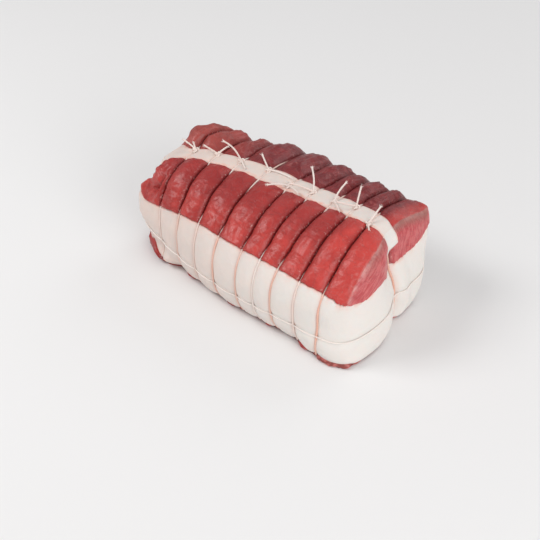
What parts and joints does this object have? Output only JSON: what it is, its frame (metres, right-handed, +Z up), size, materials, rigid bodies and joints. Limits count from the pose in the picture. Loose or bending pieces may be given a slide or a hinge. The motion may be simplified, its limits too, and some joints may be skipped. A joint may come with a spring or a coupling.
{
  "type": "tied beef roast",
  "caption": "Raw beef roast of two long lobes side by side, with a band and a strip of barding fat and loops of butcher's twine.",
  "frame": {"origin": "on the table under the middle of the bounding box", "axes": "+X along the roast towards its broad cut end, +Z up, -Y the front side, +Y the back side"},
  "size_m": [0.2098, 0.1244, 0.0884],
  "materials": {
    "meat": "moist raw beef, crimson with darker creases",
    "fat": "firm ivory white barding fat with a soft sheen",
    "twine": "white twisted cotton butcher's twine"
  },
  "bodies": {
    "root": {"beef": "meat", "barding_band": "fat", "barding_strip": "fat", "twine_band": "twine", "twine_lengthwise": "twine", "twine_loop_1": "twine", "twine_loop_2": "twine", "twine_loop_3": "twine", "twine_loop_4": "twine", "twine_loop_5": "twine", "twine_loop_6": "twine", "twine_loop_7": "twine", "twine_loop_8": "twine", "twine_loop_9": "twine"}
  },
  "joints": []
}
